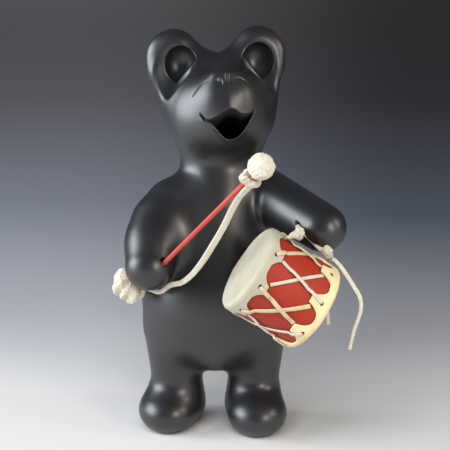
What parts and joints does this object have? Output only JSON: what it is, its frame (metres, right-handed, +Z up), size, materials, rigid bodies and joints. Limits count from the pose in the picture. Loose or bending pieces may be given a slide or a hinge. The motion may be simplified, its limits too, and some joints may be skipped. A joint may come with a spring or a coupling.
{
  "type": "clay bear figurine",
  "caption": "Standing black clay bear singing with its head tilted back, a laced hide drum hung from its left arm and a red padded beater in its right paw.",
  "frame": {"origin": "on the ground, under the middle of the figure's bounding box without its three free hide strips", "axes": "+Z up, -Y is the way the bear faces, +X is towards the bear's own left"},
  "size_m": [0.177, 0.1635, 0.3002],
  "materials": {
    "clay": "burnished black fired clay, satin",
    "red_paint": "wood with flat red paint",
    "white_hide": "white rawhide, dull",
    "cream_hide": "cream rawhide, dull",
    "rawhide_lace": "rawhide strip, dull",
    "red_dowel": "painted dowel, satin",
    "buckskin": "soft white hide, suede side out",
    "sinew": "brown sinew thread"
  },
  "bodies": {
    "root": {"bear": "clay", "drum_shell": "red_paint", "drum_batter_head": "white_hide", "drum_back_head": "cream_hide", "drum_lacing": "rawhide_lace", "drumstick": "red_dowel", "beater_head": "buckskin", "beater_tie": "sinew", "beater_tuft": "buckskin", "beater_thong": "buckskin", "drum_tie": "buckskin", "drum_tie_tail": "buckskin", "drum_tie_short_tail": "buckskin"}
  },
  "joints": []
}
